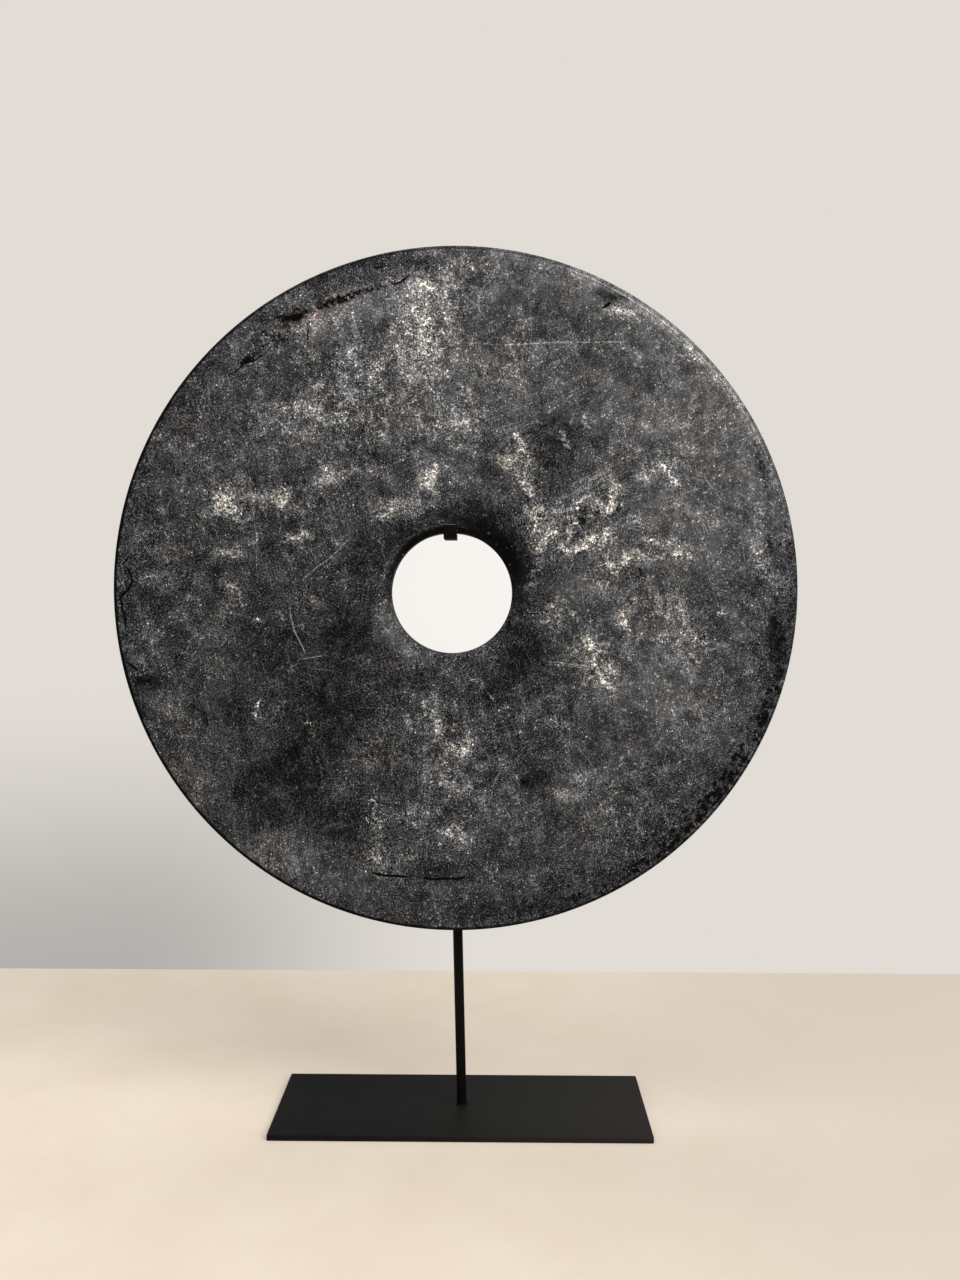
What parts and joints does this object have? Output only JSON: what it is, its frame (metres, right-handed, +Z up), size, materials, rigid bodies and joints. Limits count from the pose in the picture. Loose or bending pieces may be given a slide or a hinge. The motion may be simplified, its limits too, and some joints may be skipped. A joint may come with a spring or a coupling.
{
  "type": "jade bi disc on a stand",
  "caption": "Flat round disc of dark jade with a central hole, hung on a slim black steel stand with a rod and a rectangular base plate.",
  "frame": {"origin": "middle of the underside of the base plate", "axes": "+Z up, the face of the disc looks along -Y, +X to the right as one faces the disc"},
  "size_m": [0.342, 0.075, 0.4402],
  "materials": {
    "jade": "ground and polished charcoal stone, clouded with pale grey and cream speckles, finely scratched",
    "black_steel": "satin black paint on steel"
  },
  "bodies": {
    "root": {"jade_disc": "jade", "base_plate": "black_steel", "rod": "black_steel", "support_ring": "black_steel", "hook": "black_steel"}
  },
  "joints": []
}
